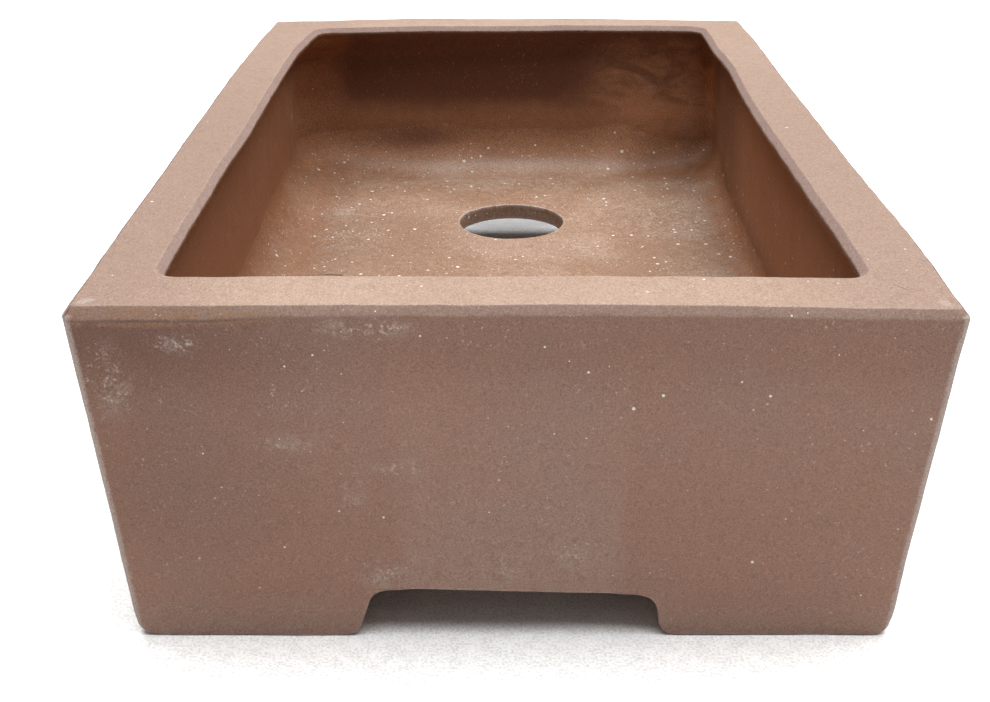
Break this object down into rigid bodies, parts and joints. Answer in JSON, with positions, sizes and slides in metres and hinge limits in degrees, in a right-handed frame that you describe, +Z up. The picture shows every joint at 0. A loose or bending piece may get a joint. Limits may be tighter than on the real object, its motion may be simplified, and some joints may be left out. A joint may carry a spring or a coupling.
{
  "type": "bonsai pot",
  "caption": "Rectangular unglazed clay bonsai pot with leaning walls, a flat overhanging rim, drain holes in its floor and L-shaped corner feet with notches between them.",
  "frame": {"origin": "on the ground, under the centre of the pot's outer box", "axes": "+Z up; Y along the pot's length, with the end called front at -Y; X across its width, with the side called left at -X"},
  "size_m": [0.2, 0.324, 0.091],
  "materials": {
    "clay_rim": "unglazed, matte, smoothed by hand",
    "clay_wall": "unglazed, matte, with a few chalky mineral patches",
    "clay_floor": "unglazed, matte, with fine scratches",
    "clay_coil": "unglazed, matte, finger-smoothed",
    "clay_foot": "unglazed, matte"
  },
  "bodies": {
    "root": {"floor_slab": "clay_floor", "end_wall_front": "clay_wall", "end_wall_back": "clay_wall", "side_wall_left": "clay_wall", "side_wall_right": "clay_wall", "lip_strip_front": "clay_rim", "lip_strip_back": "clay_rim", "lip_strip_left": "clay_rim", "lip_strip_right": "clay_rim", "floor_coil_front": "clay_coil", "floor_coil_back": "clay_coil", "floor_coil_left": "clay_coil", "floor_coil_right": "clay_coil", "corner_coil_front_left": "clay_coil", "corner_coil_front_right": "clay_coil", "corner_coil_back_left": "clay_coil", "corner_coil_back_right": "clay_coil", "foot_front_left": "clay_foot", "foot_front_right": "clay_foot", "foot_back_left": "clay_foot", "foot_back_right": "clay_foot"}
  },
  "joints": []
}
